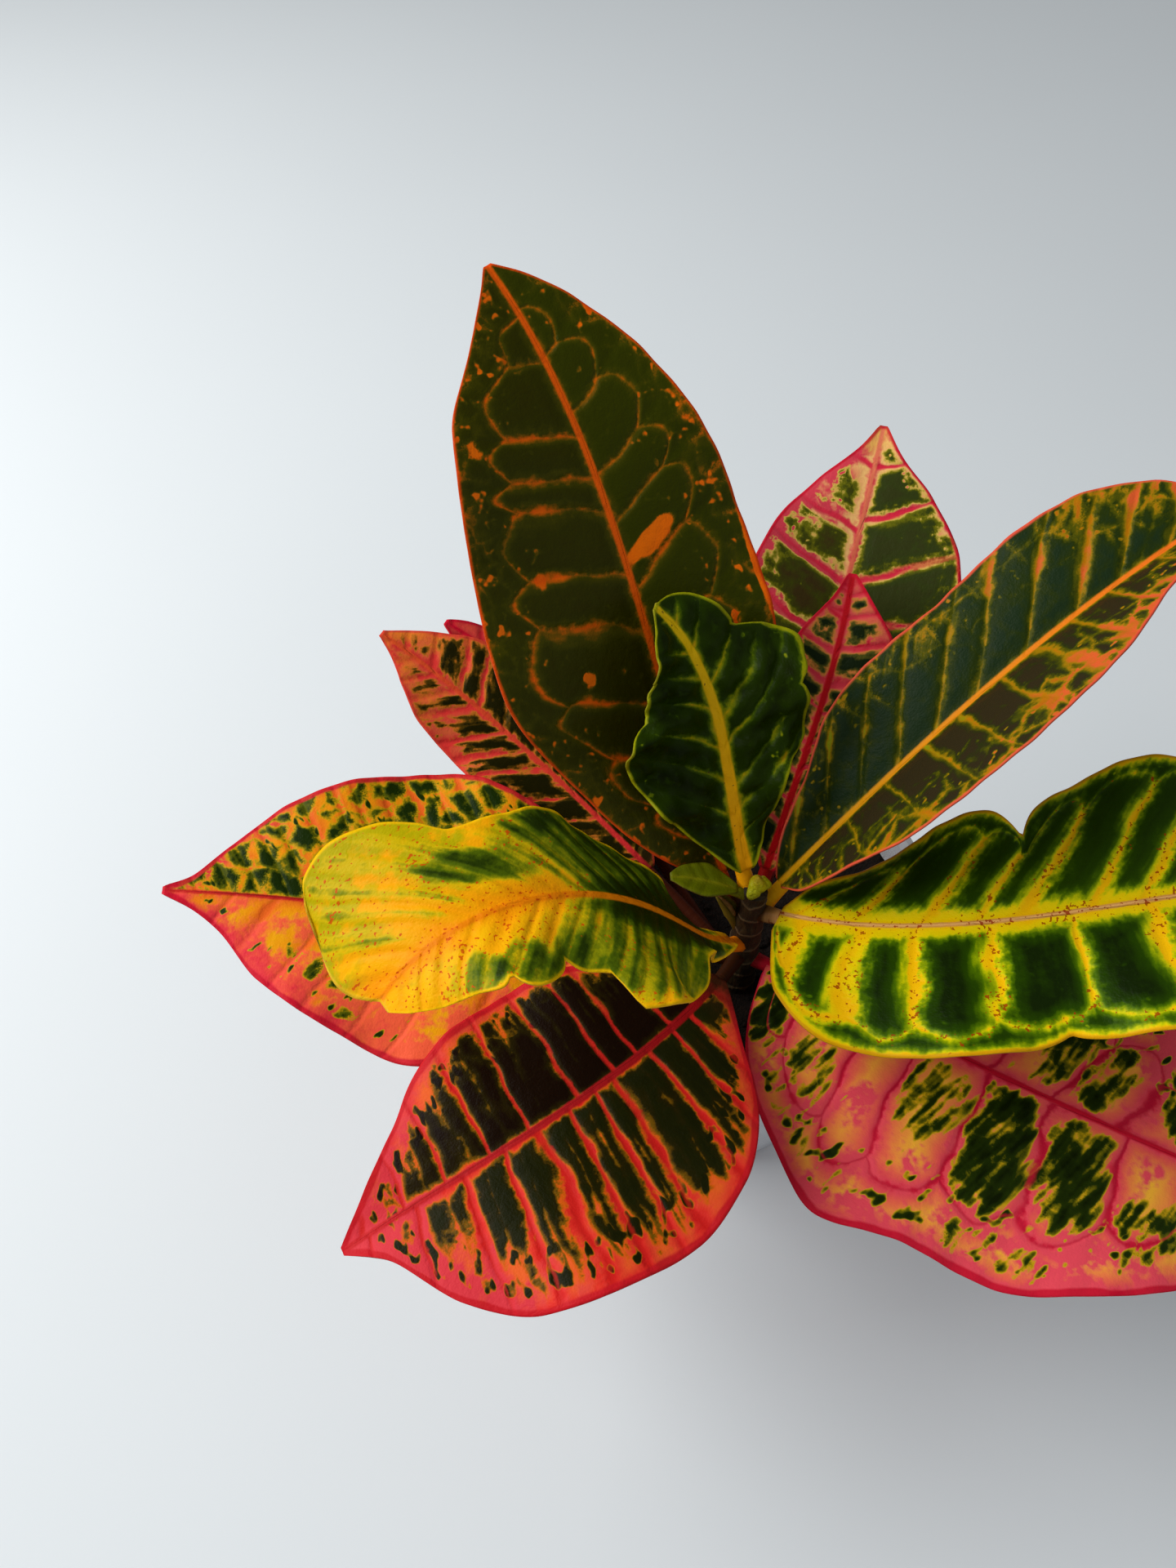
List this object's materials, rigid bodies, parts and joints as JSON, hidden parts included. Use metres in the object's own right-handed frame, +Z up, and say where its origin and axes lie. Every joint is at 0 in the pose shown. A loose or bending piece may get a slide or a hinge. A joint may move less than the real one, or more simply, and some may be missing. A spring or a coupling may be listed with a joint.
{
  "type": "potted croton",
  "caption": "Potted house plant with a short woody stem and broad, wavy, brightly veined leaves in a tapered round pot.",
  "frame": {"origin": "centre of the pot's underside, on the surface that the pot stands on", "axes": "+Z up, +X to the right in the picture, +Y away from the viewer"},
  "size_m": [0.2963, 0.2095, 0.2514],
  "materials": {
    "pot_plastic": "satin",
    "soil": "matte",
    "bark": "matte",
    "leaf_dark": "satin",
    "leaf_green": "satin",
    "leaf_yellow": "satin",
    "leaf_orange": "satin",
    "leaf_crimson": "satin",
    "leaf_pink": "satin",
    "leaf_young": "satin"
  },
  "bodies": {
    "root": {"pot": "pot_plastic", "soil": "soil", "stem": "bark", "bud": "leaf_young", "leaf_tall_left": "leaf_dark", "leaf_crinkled": "leaf_green", "leaf_folded_right": "leaf_dark", "leaf_lobed_right": "leaf_green", "leaf_yellow_left": "leaf_yellow", "leaf_low_left": "leaf_orange", "leaf_low_front_left": "leaf_crimson", "leaf_low_front_right": "leaf_pink", "leaf_back_left": "leaf_crimson", "leaf_back_left_low": "leaf_pink", "leaf_back_right": "leaf_pink", "leaf_back_right_upper": "leaf_crimson", "leaf_small": "leaf_young", "leaf_rolled": "leaf_young"}
  },
  "joints": []
}
